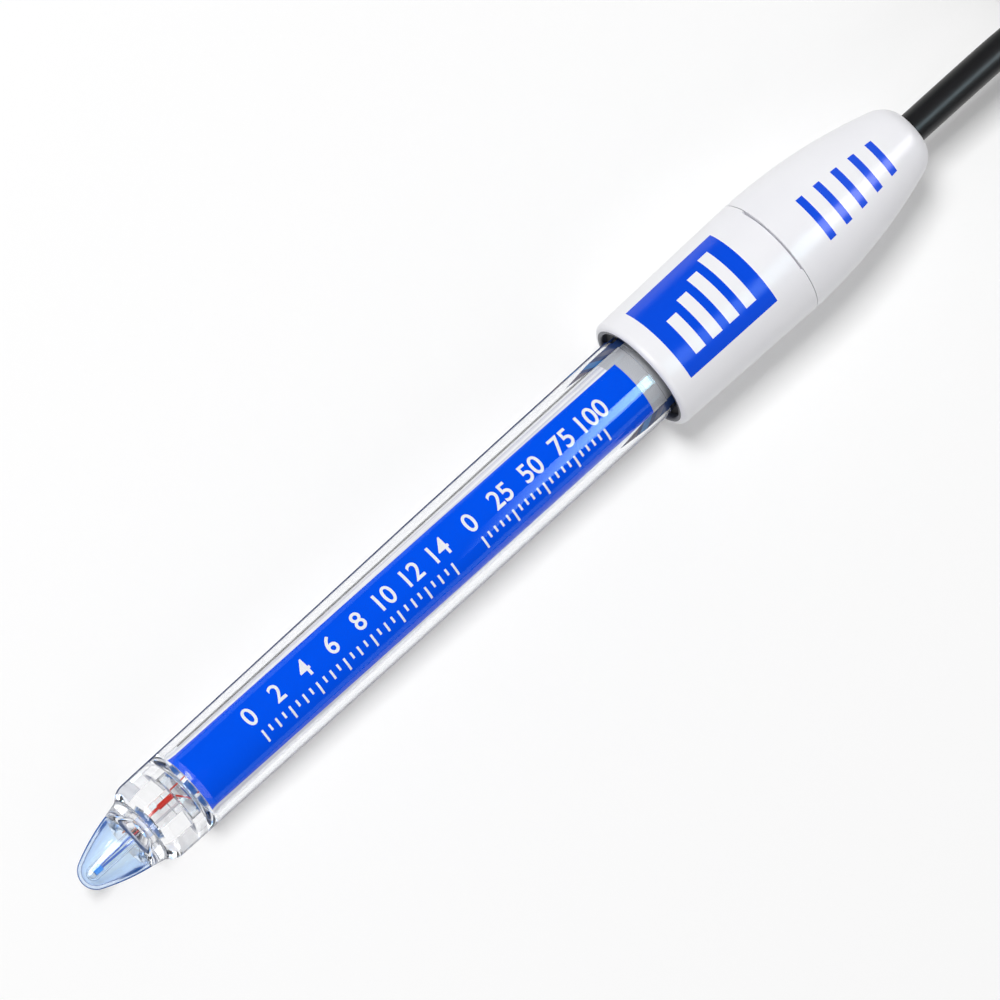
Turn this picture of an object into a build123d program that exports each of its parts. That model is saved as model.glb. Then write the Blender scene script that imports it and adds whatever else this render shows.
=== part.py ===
from build123d import *
from math import atan2, cos, degrees, pi, radians, sin, sqrt, tan
import os

# A combination pH electrode with a clear shaft, a glass cone and a fixed cable, lying on a bench.
# Millimetres. Every piece of the electrode is made along +X, with the tip of its glass cone at
# the origin and its own axis on X. At the end all of it is laid down on the bench, Z up.

# Glass cone, blown hollow
nose_radius = 2.35
cone_length = 7.6
cone_base_radius = 4.15
cone_bulge_angle = 6.0
cone_wall = 0.45

# Glass stem that carries the cone, funnel-shaped inside
collar_length = 2.4
collar_radius = 4.7
collar_edge_round = 0.15
funnel_length = 2.0
stem_bore_radius = 1.5
spigot_radius = 3.0
spigot_length = 0.6
cement_length = 0.7

# Temperature sensor in its capillary
capillary_start = 0.95
capillary_radius = 0.95
capillary_wall = 0.18
capillary_length = 10.5
bead_radius = 0.58
bead_length = 0.75
chip_gap = 0.1
chip_length = 1.15
chip_width = 0.95
chip_edge_round = 0.12
sensor_wire_radius = 0.15
sensor_wire_gap = 0.04
sensor_wire_offset = 0.36

# Electrode wire, the sensor's two leads and the red sleeve on one of them
electrode_wire_radius = 0.1
electrode_wire_y = 1.25
electrode_wire_start = 7.9
signal_lead_radius = 0.12
signal_lead_front_y = 0.36
signal_lead_back_y = -1.25
signal_lead_z = 0.25
signal_lead_bend = 0.4
lead_crossing = 1.3
lead_sleeve_radius = 0.23
lead_sleeve_length = 2.3
lead_sleeve_setback = 1.65
return_lead_radius = 0.11

# Ring that seals the stem to the shaft
seal_thickness = 0.8
seal_radius = 2.85
seal_bore_radius = 2.3

# Clear shaft: a thick moulded end, a long tapered stretch, a true cylinder and a neck in the head
shaft_radius = 6.0
shaft_neck_radius = 5.8
shaft_neck_setback = 0.5
shaft_front_radius = 5.68
shaft_face_radius = 4.85
shaft_round_length = 1.8
shaft_bore_radius = 4.8
shaft_taper_length = 50.0
recess_fit = 0.05
chamber_length = 3.5
chamber_corner_radius = 2.55
chamber_sides = 6
seat_depth = 1.5
cavity_bottom_round = 1.2

# Ceramic junction pin in the wall of the moulded end
junction_radius = 0.4
junction_angle = 205.0

# Inner tube, label carrier, label and reference wire
inner_tube_radius = 3.35
inner_tube_wall = 0.75
inner_tube_past_bush = 14.0
inner_tube_edge_round = 0.25
tube_fit = 0.02
carrier_gap = 1.1
carrier_length = 74.3
carrier_radius = 4.5
carrier_wall = 0.2
carrier_lip_length = 1.2
label_thickness = 0.1
label_wrap_angle = 107.0
label_turn_angle = 6.5
label_overhang = 1.2
reference_wire_radius = 0.13
reference_wire_angle = 76.0
reference_wire_setback = 3.6
reference_wire_past_shaft = 0.6

# Grey bush inside the top of the shaft, with its small block
bush_spigot_length = 1.5
bush_length = 8.5
block_length = 1.1
block_width = 1.4
block_height = 0.24
block_setback = 1.8
block_angle = 12.0
bush_recess_depth = 0.25
bush_recess_setback = 2.6
bush_recess_length = 1.6
bush_recess_from_angle = -75.0
bush_recess_to_angle = -37.0

# Head: a front sleeve and an ogive cap that snaps into it
shaft_in_head = 16.4
sleeve_length = 22.8
sleeve_front_radius = 8.15
head_radius = 8.5
sleeve_rim_round = 0.8
sleeve_mouth_round = 0.25
mouth_radius = 6.8
mouth_depth = 6.0
shoulder_length = 4.0
shaft_fit = 0.05
sleeve_wall = 1.3
seam_gap = 0.1
notch_depth = 0.35
notch_from_angle = -50.0
notch_to_angle = 27.0
cap_ogive_length = 22.2
cap_ogive_drop = 3.35
cap_shoulder_length = 2.1
cap_shoulder_drop = 1.55
cap_dome_height = 0.45
cap_wall = 2.4
cap_end_wall = 6.6
cap_spigot_length = 6.0
snap_fit = 0.05

# Pieces that hold the shaft and the cable in the head
head_seal_width = 1.2
head_seal_setback = 0.8
retaining_collar_length = 4.0
top_plug_gap = 2.5
top_plug_length = 8.0
top_plug_setback = 1.0
inner_plug_length = 4.5
clamp_length = 5.0
clamp_wall = 0.9
cable_stub = 1.4
shield_lead_radius = 0.3
shield_lead_y = 0.2
shield_lead_z = 1.0
shield_lead_straight = 2.6
shield_lead_bend = 1.0

# Cable, and the hank that it is folded into, held by two flat bands
cable_radius = 2.1
cable_fit = 0.02
arc_share = 0.45
cable_rise = 7.5
cable_route = [(-18.0, 4.2, 2.3), (-6.0, 0.8, 0.9), (5.5, 0.0, 0.0)]
tail_route = [(-4.0, 0.0, 0.0), (-15.0, -0.6, 0.1)]
tail_straight = 9.5
hank_lanes = 2
hank_layers = 2
hank_run = 80.0
hank_inner_fold = 12.7
hank_near_fold = 109.5
hank_edge_round = 1.9
tie_thickness = 0.4
tie_width = 8.0
tie_fit = 0.02

# Bayonet plug, made along +X with the back of its boot at the origin
plug_back = 152.0
plug_bench_clearance = 0.1
boot_length = 16.0
boot_back_radius = 3.0
boot_front_radius = 4.5
boot_collar_length = 3.5
boot_edge_round = 0.4
boot_grooves = 4
boot_groove_width = 1.1
boot_groove_depth = 0.5
ferrule_length = 7.0
ferrule_wall = 0.8
grip_radius = 4.9
grip_length = 5.5
grip_rim = 0.7
grip_flat = 4.4
neck_radius = 4.15
flange_radius = 4.8
flange_length = 0.9
contact_radius = 4.05
contact_wall = 0.5
contact_length = 7.6
contact_spigot_radius = 3.3
contact_spigot_length = 1.8
contact_slots = 4
contact_slot_width = 0.5
contact_slot_length = 5.4
insulator_radius = 2.5
insulator_back = 3.4
insulator_nose = 3.2
insulator_nose_round = 0.3
pin_radius = 0.68
pin_back = 1.4
pin_reach = 3.0
pin_nose_round = 0.5
gasket_thickness = 1.0
nut_radius = 7.25
nut_length = 13.6
nut_bore_radius = 4.95
nut_lip_length = 1.6
nut_edge_round = 0.4
nut_travel = 1.0
nut_flutes = 20
nut_flute_radius = 0.6
nut_flute_depth = 0.32
nut_band_start = 1.0
nut_band_length = 4.3
washer_thickness = 0.3
washer_dish = 0.5
washer_gap = 0.06
running_fit = 0.05
axial_play = 0.06
bayonet_width = 2.3
bayonet_entry = 3.4
bayonet_rise = 3.0
bayonet_swing = 3.1
bayonet_eye_radius = 1.35

# Places along the electrode's axis, each from the one before it
collar_end = cone_length + collar_length
spigot_end = collar_end + spigot_length
seal_end = spigot_end + seal_thickness
chamber_end = seal_end + chamber_length
cavity_start = chamber_end + seat_depth
round_end = collar_end + shaft_round_length
taper_end = round_end + shaft_taper_length
carrier_start = cavity_start + carrier_gap
carrier_end = carrier_start + carrier_length
bush_end = carrier_end + bush_length
inner_tube_end = bush_end + inner_tube_past_bush
top_plug_start = bush_end + top_plug_gap
top_plug_end = top_plug_start + top_plug_length
shaft_end = top_plug_end + top_plug_setback
sleeve_start = shaft_end - shaft_in_head
shaft_neck_start = sleeve_start - shaft_neck_setback
shoulder_start = sleeve_start + mouth_depth
shoulder_end = shoulder_start + shoulder_length
seam = sleeve_start + sleeve_length
cap_start = seam + seam_gap
ogive_end = cap_start + cap_ogive_length
cap_end = ogive_end + cap_shoulder_length + cap_dome_height
cap_inside_end = cap_end - cap_end_wall
clamp_start = cap_inside_end - clamp_length
cable_start = clamp_start - cable_stub

pieces = {}


def turned(*corners):
    """A body turned about the X axis from (x, radius) corners; a third number rounds a corner."""
    points = [corner[:2] for corner in corners]
    rounds = [corner[2] if len(corner) > 2 else 0 for corner in corners]
    return revolve(make_face(FilletPolyline(*points, radius=rounds, close=True)), Axis.X)


def ring(start, end, inner, outer):
    """A plain ring or tube about the X axis."""
    return turned((start, inner), (end, inner), (end, outer), (start, outer))


def turn(shape, angle):
    """The shape turned about the X axis; a positive angle goes from the top towards -Y."""
    return Rotation(angle, 0, 0) * shape


def band(start, end, inner, outer, from_turn, to_turn):
    """A part of a ring, between two angles that are counted as in turn."""
    outline = Polyline((start, inner), (end, inner), (end, outer), (start, outer), close=True)
    swept = revolve(make_face(outline), Axis.X, revolution_arc=to_turn - from_turn)
    return turn(swept, 90 + from_turn)


def rod(start, end, radius, y=0.0, z=0.0):
    """A straight round rod along X, off the axis by y and z."""
    return Plane(origin=(start, y, z), z_dir=(1, 0, 0)) * extrude(Circle(radius), end - start)


def rod_between(a, b, radius):
    """A straight round rod from one point to another."""
    span = Vector(*b) - Vector(*a)
    return Plane(origin=a, z_dir=span) * extrude(Circle(radius), span.length)


def bent_wire(points, radius, bend):
    """A round wire along straight runs, with the same bend at each corner."""
    path = FilletPolyline(*points, radius=bend)
    start = Plane(origin=points[0], z_dir=Vector(*points[1]) - Vector(*points[0]))
    return sweep(start * Circle(radius), path=path)


# The glass cone: a round nose that runs into a slightly bulging side
def cone_outline(inset):
    """The cone's outline from its nose to its base, that far inside the outer surface."""
    radius = nose_radius - inset
    chord = atan2(cone_base_radius - nose_radius, cone_length - nose_radius)
    rise = chord + radians(cone_bulge_angle)
    side_start = (nose_radius - radius * sin(rise), radius * cos(rise))
    base = (cone_length, cone_base_radius - inset)
    nose = CenterArc((nose_radius, 0), radius, 180, degrees(rise) - 90)
    side = TangentArc(side_start, base, tangent=(cos(rise), sin(rise)))
    return [nose, side], base


outer_edges, outer_base = cone_outline(0)
inner_edges, inner_base = cone_outline(cone_wall)
cone_face = make_face(
    outer_edges + [Line(outer_base, inner_base)] + inner_edges + [Line((0, 0), (cone_wall, 0))]
)
pieces["membrane_glass"] = revolve(cone_face, Axis.X)

# The stem: a collar that carries on the cone's line, a funnel inside and a spigot behind
pieces["stem_glass"] = turned(
    inner_base,
    outer_base,
    (collar_end, collar_radius, collar_edge_round),
    (collar_end, spigot_radius),
    (spigot_end, spigot_radius),
    (spigot_end, stem_bore_radius),
    (cone_length + funnel_length, stem_bore_radius),
)

# The wires that run back to the cable, and the red sleeve on the sensor lead
electrode_wire = rod(electrode_wire_start, cable_start, electrode_wire_radius, electrode_wire_y)
capillary_end = capillary_start + capillary_length
lead_sleeve_start = capillary_end + lead_sleeve_setback
lead_sleeve_end = lead_sleeve_start + lead_sleeve_length
crossing_start = lead_sleeve_end + signal_lead_bend
signal_lead = bent_wire(
    [
        (capillary_end, signal_lead_front_y, signal_lead_z),
        (crossing_start, signal_lead_front_y, signal_lead_z),
        (crossing_start + lead_crossing, signal_lead_back_y, signal_lead_z),
        (cable_start, signal_lead_back_y, signal_lead_z),
    ],
    signal_lead_radius,
    signal_lead_bend,
)
lead_sleeve = rod(
    lead_sleeve_start, lead_sleeve_end, lead_sleeve_radius, signal_lead_front_y, signal_lead_z
)
return_lead = rod(capillary_end, cable_start, return_lead_radius, -sensor_wire_offset)
pieces["electrode_wire"] = electrode_wire
pieces["signal_lead"] = signal_lead
pieces["lead_sleeve"] = lead_sleeve - signal_lead
pieces["return_lead"] = return_lead

# The capillary, closed by a round end, and the sensor inside it
capillary_bore = capillary_radius - capillary_wall
inside_start = capillary_start + capillary_wall
capillary = turned(
    (capillary_start, 0),
    (capillary_start, capillary_radius, capillary_radius - 0.02),
    (capillary_end, capillary_radius),
    (capillary_end, 0),
)
hollow = turned(
    (inside_start, 0),
    (inside_start, capillary_bore, capillary_bore - 0.02),
    (capillary_end, capillary_bore),
    (capillary_end, 0),
)
pieces["sensor_capillary"] = capillary - hollow
bead_end = inside_start + bead_length
pieces["sensor_bead"] = turned(
    (inside_start, 0),
    (inside_start, bead_radius, bead_radius - 0.02),
    (bead_end, bead_radius),
    (bead_end, 0),
)
chip_start = bead_end + chip_gap
chip_end = chip_start + chip_length
chip = Location((chip_start + chip_length / 2, 0, 0)) * Box(chip_length, chip_width, chip_width)
pieces["sensor_chip"] = fillet(chip.edges().filter_by(Axis.X), chip_edge_round)
wire_root_y = sensor_wire_radius + sensor_wire_gap / 2
pieces["sensor_wires"] = Compound(
    children=[
        rod_between(
            (chip_end, side * wire_root_y, 0),
            (capillary_end, side * sensor_wire_offset, 0),
            sensor_wire_radius,
        )
        for side in (1, -1)
    ]
)

# Amber cement in the stem's bore, with a hole for the wire, and the ring behind the stem
cement = ring(spigot_end - cement_length, spigot_end, capillary_radius, stem_bore_radius)
pieces["stem_cement"] = cement - electrode_wire
pieces["seal_ring"] = ring(spigot_end, seal_end, seal_bore_radius, seal_radius)

# The clear shaft, turned, with a six-sided chamber moulded in its thick end
recess_radius = spigot_radius + recess_fit
seat_radius = inner_tube_radius + tube_fit
shaft_edges = [
    TangentArc((round_end, shaft_front_radius), (collar_end, shaft_face_radius), tangent=(-1, 0)),
    Polyline(
        (round_end, shaft_front_radius),
        (taper_end, shaft_radius),
        (shaft_neck_start, shaft_radius),
        (shaft_neck_start, shaft_neck_radius),
        (shaft_end, shaft_neck_radius),
        (shaft_end, shaft_bore_radius),
    ),
    FilletPolyline(
        (shaft_end, shaft_bore_radius),
        (cavity_start, shaft_bore_radius),
        (cavity_start, seat_radius),
        radius=[cavity_bottom_round],
    ),
    Polyline(
        (cavity_start, seat_radius),
        (chamber_end, seat_radius),
        (chamber_end, 0),
        (seal_end, 0),
        (seal_end, recess_radius),
        (collar_end, recess_radius),
        (collar_end, shaft_face_radius),
    ),
]
shaft = revolve(make_face(shaft_edges), Axis.X)
chamber_start = Plane(origin=(seal_end, 0, 0), z_dir=(1, 0, 0))
chamber = chamber_start * extrude(
    RegularPolygon(chamber_corner_radius, chamber_sides), chamber_length
)
junction_foot = Plane(origin=((seal_end + chamber_end) / 2, 0, 0), z_dir=(0, 0, 1))
junction = turn(junction_foot * extrude(Circle(junction_radius), shaft_radius), junction_angle)
pieces["junction_pin"] = (junction - chamber) & shaft
pieces["shaft_tube"] = shaft - chamber - junction

# The inner tube, from its seat in the moulded end up into the head
inner_tube_bore = inner_tube_radius - inner_tube_wall
pieces["inner_tube"] = turned(
    (chamber_end, inner_tube_bore),
    (chamber_end, inner_tube_radius, inner_tube_edge_round),
    (inner_tube_end, inner_tube_radius),
    (inner_tube_end, inner_tube_bore),
)

# The label's carrier: its front lip sits on the inner tube, its back end on the grey bush
carrier_bore = carrier_radius - carrier_wall
on_tube = inner_tube_radius + tube_fit
lip_end = carrier_start + carrier_lip_length
pieces["label_carrier"] = turned(
    (carrier_start, on_tube),
    (carrier_start, carrier_radius),
    (carrier_end, carrier_radius),
    (carrier_end, carrier_bore),
    (lip_end, carrier_bore),
    (lip_end, on_tube),
)

# The label wraps a part of the carrier and laps a little over the bush
pieces["label"] = band(
    carrier_start,
    carrier_end + label_overhang,
    carrier_radius,
    carrier_radius + label_thickness,
    label_turn_angle - label_wrap_angle / 2,
    label_turn_angle + label_wrap_angle / 2,
)

# The grey bush: a spigot under the carrier, a ring with a shallow recess and a small block on top
bush_radius = carrier_radius - tube_fit
bush_spigot_start = carrier_end - bush_spigot_length
bush = turned(
    (bush_spigot_start, on_tube),
    (bush_spigot_start, carrier_bore - tube_fit),
    (carrier_end, carrier_bore - tube_fit),
    (carrier_end, bush_radius),
    (bush_end, bush_radius),
    (bush_end, on_tube),
)
block_middle = carrier_end + block_setback + block_length / 2
block = Location((block_middle, 0, bush_radius)) * Box(block_length, block_width, 2 * block_height)
bush_recess = band(
    carrier_end + bush_recess_setback,
    carrier_end + bush_recess_setback + bush_recess_length,
    bush_radius - bush_recess_depth,
    bush_radius + bush_recess_depth,
    bush_recess_from_angle,
    bush_recess_to_angle,
)
pieces["top_bush"] = bush + turn(block, block_angle) - bush_recess

# The reference wire, half way between the carrier and the shaft's wall and a little above their middle
reference_wire_circle = (carrier_radius + shaft_bore_radius) / 2
reference_wire_y = reference_wire_circle * sin(radians(reference_wire_angle))
reference_wire_z = reference_wire_circle * cos(radians(reference_wire_angle))
reference_wire_end = shaft_end + reference_wire_past_shaft
reference_wire = rod(
    cavity_start + reference_wire_setback,
    reference_wire_end,
    reference_wire_radius,
    reference_wire_y,
    reference_wire_z,
)
pieces["reference_wire"] = reference_wire

# The stoppers of the shaft and of the inner tube
top_plug = ring(top_plug_start, top_plug_end, inner_tube_radius, shaft_bore_radius)
pieces["top_plug"] = top_plug - reference_wire
inner_plug = rod(inner_tube_end - inner_plug_length, inner_tube_end, inner_tube_bore)
pieces["inner_plug"] = inner_plug - electrode_wire - signal_lead - return_lead

# The head's sleeve: a rounded rim, a mouth round the shaft, a shoulder and a wide back bore
sleeve_bore = head_radius - sleeve_wall
shoulder_bore = shaft_neck_radius + shaft_fit
sleeve = turned(
    (sleeve_start, mouth_radius, sleeve_mouth_round),
    (sleeve_start, sleeve_front_radius, sleeve_rim_round),
    (seam, head_radius),
    (seam, sleeve_bore),
    (shoulder_end, sleeve_bore),
    (shoulder_end, shoulder_bore),
    (shoulder_start, shoulder_bore),
    (shoulder_start, mouth_radius),
)
pry_notch = band(
    seam - notch_depth,
    seam + notch_depth,
    sleeve_bore + sleeve_wall / 2,
    head_radius + sleeve_wall,
    notch_from_angle,
    notch_to_angle,
)
pieces["head_sleeve"] = sleeve - pry_notch

# The ring that seals the mouth, and the collar that keeps the shaft in
head_seal_start = sleeve_start + head_seal_setback
pieces["head_seal"] = ring(
    head_seal_start, head_seal_start + head_seal_width, shaft_neck_radius, mouth_radius
)
in_sleeve = sleeve_bore - snap_fit
pieces["retaining_collar"] = ring(
    shoulder_end, shoulder_end + retaining_collar_length, shaft_neck_radius, in_sleeve
)

# The ogive cap: one long arc, a round shoulder and a slightly domed end round the cable
ogive_radius = (cap_ogive_length**2 + cap_ogive_drop**2) / (2 * cap_ogive_drop)
ogive_end_slope = 2 * atan2(cap_ogive_drop, cap_ogive_length)
ogive_end_radius = head_radius - cap_ogive_drop
shoulder_x = ogive_end + cap_shoulder_length
shoulder_r = ogive_end_radius - cap_shoulder_drop
cable_hole = cable_radius + cable_fit
inside_length = cap_inside_end - cap_start
inside_drop = ogive_radius - sqrt(ogive_radius**2 - inside_length**2)
cap_bore = head_radius - cap_wall
cap_spigot_start = seam - cap_spigot_length
cap_edges = [
    TangentArc((cap_start, head_radius), (ogive_end, ogive_end_radius), tangent=(1, 0)),
    TangentArc(
        (ogive_end, ogive_end_radius),
        (shoulder_x, shoulder_r),
        tangent=(cos(ogive_end_slope), -sin(ogive_end_slope)),
    ),
    Polyline(
        (shoulder_x, shoulder_r),
        (cap_end, cable_hole),
        (cap_inside_end, cable_hole),
        (cap_inside_end, cap_bore - inside_drop),
    ),
    TangentArc((cap_start, cap_bore), (cap_inside_end, cap_bore - inside_drop), tangent=(1, 0)),
    Polyline(
        (cap_start, cap_bore),
        (cap_spigot_start, cap_bore),
        (cap_spigot_start, in_sleeve),
        (cap_start, in_sleeve),
        (cap_start, head_radius),
    ),
]
pieces["head_cap"] = revolve(make_face(cap_edges), Axis.X)

# The crimped ring that stops the cable in the cap, and the link to the cable's screen
pieces["cable_clamp"] = ring(
    clamp_start, cap_inside_end, cable_radius, cable_radius + clamp_wall
)
pieces["shield_lead"] = bent_wire(
    [
        (reference_wire_end, reference_wire_y, reference_wire_z),
        (reference_wire_end + shield_lead_straight, reference_wire_y, reference_wire_z),
        (cable_start - shield_lead_straight, shield_lead_y, shield_lead_z),
        (cable_start, shield_lead_y, shield_lead_z),
    ],
    shield_lead_radius,
    shield_lead_bend,
)

# Lay the electrode down: the round of its shaft and the rim of its head both touch the bench
rim_x = sleeve_start + sleeve_rim_round
lie_angle = degrees(atan2(sleeve_front_radius - shaft_front_radius, rim_x - round_end))
laid = [Rotation(0, -lie_angle, 0) * piece for piece in pieces.values()]
laid_box = Compound(children=laid).bounding_box()
middle = laid_box.center()
lay_down = Location((-middle.X, -middle.Y, -laid_box.min.Z)) * Rotation(0, -lie_angle, 0)
placed = {name: lay_down * piece for name, piece in pieces.items()}


def on_axis(x):
    """The point of the laid electrode's axis that far from the tip of the cone."""
    return (lay_down * Location((x, 0, 0))).position


def cable_tube(points):
    """A round cable along straight runs, joined by arcs as large as the runs beside them allow."""
    runs = [b - a for a, b in zip(points, points[1:])]
    radii = [
        arc_share * min(a.length, b.length) / tan(radians(a.get_angle(b)) / 2)
        for a, b in zip(runs, runs[1:])
    ]
    path = FilletPolyline(*points, radius=radii)
    tube = sweep(Plane(origin=points[0], z_dir=runs[0]) * Circle(cable_radius), path=path)
    print("cable arcs", [round(r, 1) for r in radii], "length", round(path.length, 1))
    print("volume over section times length", tube.volume / (path.length * pi * cable_radius**2))
    return tube


# The hank: lanes side by side and on each other, with its front fold just behind the electrode
cable_diameter = 2 * cable_radius
outer_fold = hank_inner_fold + (hank_lanes - 1) * cable_diameter
hank_half_width = outer_fold + cable_radius
eye_half_width = hank_inner_fold - cable_radius
bundle = hank_lanes * cable_diameter
hank_height = hank_layers * cable_diameter
hank_base = tie_thickness + tie_fit
hank_y = hank_half_width - head_radius
hank_far_fold = hank_near_fold + hank_run
hank_outline = SlotCenterToCenter(hank_run, 2 * hank_half_width)
hank_eye = SlotCenterToCenter(hank_run, 2 * eye_half_width)
hank_foot = Location(((hank_near_fold + hank_far_fold) / 2, hank_y, hank_base))
hank = hank_foot * extrude(hank_outline - hank_eye, hank_height)
placed["cable_hank"] = fillet(hank.edges().filter_by(Plane.XY), hank_edge_round)

# A flat band ties the lanes on each side of the eye
band_hole = RectangleRounded(
    bundle + 2 * tie_fit, hank_height + 2 * tie_fit, hank_edge_round
)
band_outside = RectangleRounded(
    bundle + 2 * hank_base, hank_height + 2 * hank_base, hank_edge_round + tie_thickness
)
hank_ties = []
for side in (1, -1):
    tie_start = Plane(
        origin=(
            (hank_near_fold + hank_far_fold - tie_width) / 2,
            hank_y + side * (hank_half_width - bundle / 2),
            hank_base + hank_height / 2,
        ),
        x_dir=(0, 1, 0),
        z_dir=(1, 0, 0),
    )
    hank_ties.append(tie_start * extrude(band_outside - band_hole, tie_width))
placed["hank_ties"] = Compound(children=hank_ties)

# The cable from the clamp to the hank, down to the top layer of its outer lane
top_lane_z = hank_base + hank_height - cable_radius
lane_start = Vector(hank_near_fold, hank_y - outer_fold, top_lane_z)
placed["cable"] = cable_tube(
    [on_axis(cable_start), on_axis(cap_end + cable_rise)]
    + [lane_start + Vector(*step) for step in cable_route]
)

# The cable's end, out of the inner lane and across the eye into the plug
plug_z = nut_radius + plug_bench_clearance
lane_end = Vector(hank_far_fold, hank_y + hank_inner_fold, top_lane_z)
placed["cable_tail"] = cable_tube(
    [lane_end + Vector(*step) for step in tail_route]
    + [
        Vector(plug_back + tail_straight, hank_y, plug_z),
        Vector(plug_back - boot_length, hank_y, plug_z),
    ]
)

# Places along the plug's axis, each from the one before it
grip_end = boot_length + grip_length
nut_start = grip_end + axial_play
lip_front = nut_start + nut_lip_length
washer_start = lip_front + axial_play
washer_end = washer_start + washer_thickness + washer_dish
neck_end = washer_end + nut_travel + washer_gap
flange_end = neck_end + flange_length
contact_end = flange_end + contact_length
insulator_start = neck_end - insulator_back
insulator_end = flange_end + insulator_nose
pin_start = insulator_start - pin_back
pin_end = insulator_end + pin_reach
plug = {}

# The boot, with grooves that let it bend, over the ferrule that is crimped on the cable
ferrule_start = boot_length - ferrule_length
ferrule_radius = cable_radius + ferrule_wall
boot_collar_start = boot_length - boot_collar_length
boot = turned(
    (0, cable_radius),
    (0, boot_back_radius, boot_edge_round),
    (boot_collar_start, boot_front_radius),
    (boot_length, boot_front_radius, boot_edge_round),
    (boot_length, ferrule_radius),
    (ferrule_start, ferrule_radius),
    (ferrule_start, cable_radius),
)
boot_slope = (boot_front_radius - boot_back_radius) / boot_collar_start
for groove in range(boot_grooves):
    groove_start = 2 * boot_groove_width * (groove + 1)
    groove_floor = boot_back_radius + boot_slope * groove_start - boot_groove_depth
    boot -= ring(groove_start, groove_start + boot_groove_width, groove_floor, grip_radius)
plug["plug_boot"] = boot
plug["plug_ferrule"] = ring(ferrule_start, boot_length, cable_radius, ferrule_radius)

# The metal body: a grip with two flats, and a neck that the nut turns on
body = turned(
    (boot_length, 0),
    (boot_length, grip_radius, boot_edge_round),
    (grip_end, grip_radius),
    (grip_end, neck_radius),
    (neck_end, neck_radius),
    (neck_end, contact_spigot_radius),
    (neck_end - contact_spigot_length, contact_spigot_radius),
    (neck_end - contact_spigot_length, insulator_radius),
    (insulator_start, insulator_radius),
    (insulator_start, pin_radius),
    (pin_start, pin_radius),
    (pin_start, 0),
)
for side in (1, -1):
    flat_middle = ((boot_length + grip_end) / 2, 0, side * (grip_flat + grip_radius))
    body -= Location(flat_middle) * Box(
        grip_length - 2 * grip_rim, 2 * grip_radius, 2 * grip_radius
    )
plug["plug_body"] = body

# The outer contact: a spigot in the body, a flange that holds the nut, and slotted fingers
contact_bore = contact_radius - contact_wall
contact = turned(
    (neck_end - contact_spigot_length, insulator_radius),
    (neck_end - contact_spigot_length, contact_spigot_radius),
    (neck_end, contact_spigot_radius),
    (neck_end, flange_radius),
    (flange_end, flange_radius),
    (flange_end, contact_radius),
    (contact_end, contact_radius, contact_wall / 3),
    (contact_end, contact_bore),
    (flange_end, contact_bore),
    (flange_end, insulator_radius),
)
slot_middle = contact_end - contact_slot_length / 2 + 1
for slot in range(contact_slots):
    slot_box = Location((slot_middle, 0, contact_radius)) * Box(
        contact_slot_length + 2, contact_slot_width, 2 * contact_radius - 2 * insulator_radius
    )
    contact -= turn(slot_box, slot * 360 / contact_slots)
plug["contact_sleeve"] = contact

# The centre pin in its insulator, and the gasket round the root of the fingers
pin = turned(
    (pin_start, 0), (pin_start, pin_radius), (pin_end, pin_radius, pin_nose_round), (pin_end, 0)
)
insulator = turned(
    (insulator_start, 0),
    (insulator_start, insulator_radius),
    (insulator_end, insulator_radius, insulator_nose_round),
    (insulator_end, 0),
)
plug["plug_pin"] = pin
plug["plug_insulator"] = insulator - pin
plug["plug_gasket"] = ring(
    flange_end, flange_end + gasket_thickness, contact_radius, flange_radius
)

# The dished washer that springs the nut back, between its lip and the flange
neck_hole = neck_radius + running_fit
plug["spring_washer"] = turned(
    (washer_start, neck_hole),
    (washer_start + washer_dish, flange_radius),
    (washer_end, flange_radius),
    (washer_start + washer_thickness, neck_hole),
)

# The coupling nut: an inner lip, a fluted grip band and two slanted bayonet slots
nut_end = nut_start + nut_length
nut = turned(
    (nut_start, neck_hole),
    (nut_start, nut_radius, nut_edge_round),
    (nut_end, nut_radius, nut_edge_round),
    (nut_end, nut_bore_radius),
    (lip_front, nut_bore_radius),
    (lip_front, neck_hole),
)
flute_y = nut_radius + nut_flute_radius - nut_flute_depth
flute_start = nut_start + nut_band_start
flute = rod(flute_start, flute_start + nut_band_length, nut_flute_radius, flute_y)
nut -= [turn(flute, k * 360 / nut_flutes) for k in range(nut_flutes)]
entry = Location((0, -bayonet_swing)) * Rectangle(2 * bayonet_entry, bayonet_width)
ramp_start = Vector(-bayonet_entry, -bayonet_swing)
ramp_end = Vector(-bayonet_entry - bayonet_rise, bayonet_swing)
ramp_length = (ramp_end - ramp_start).length
ramp_slope = degrees(atan2(ramp_end.Y - ramp_start.Y, ramp_end.X - ramp_start.X))
ramp_place = Location((ramp_start + ramp_end) / 2) * Rotation(0, 0, ramp_slope)
ramp = ramp_place * SlotCenterToCenter(ramp_length, bayonet_width)
eye = Location(ramp_end) * Circle(bayonet_eye_radius)
bayonet = Location((nut_end, 0, 0)) * extrude(entry + ramp + eye, 2 * nut_radius)
plug["coupling_nut"] = nut - [turn(bayonet, side) for side in (0, 180)]

# The plug lies in the hank's eye, its front towards the electrode
plug_place = Location((plug_back, hank_y, plug_z)) * Rotation(0, 0, 180)
for name, piece in plug.items():
    placed[name] = plug_place * piece

os.makedirs("parts", exist_ok=True)
for name, piece in placed.items():
    export_step(piece, f"parts/{name}.step")
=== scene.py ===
# %% [markdown]
# # A pH electrode on a white bench
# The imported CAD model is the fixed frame. This script puts the looks on it: clear glass made again with
# fine facets, a printed label, a white two-part head, one long cable and a nickel-plated plug. Places are
# in metres in the model's frame; profiles are in millimetres along the electrode's own axis.

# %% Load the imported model
from functools import reduce
from math import atan2, cos, degrees, pi, radians, sin, sqrt, tan

import bmesh
import bpy
from mathutils import Matrix, Vector


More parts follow.
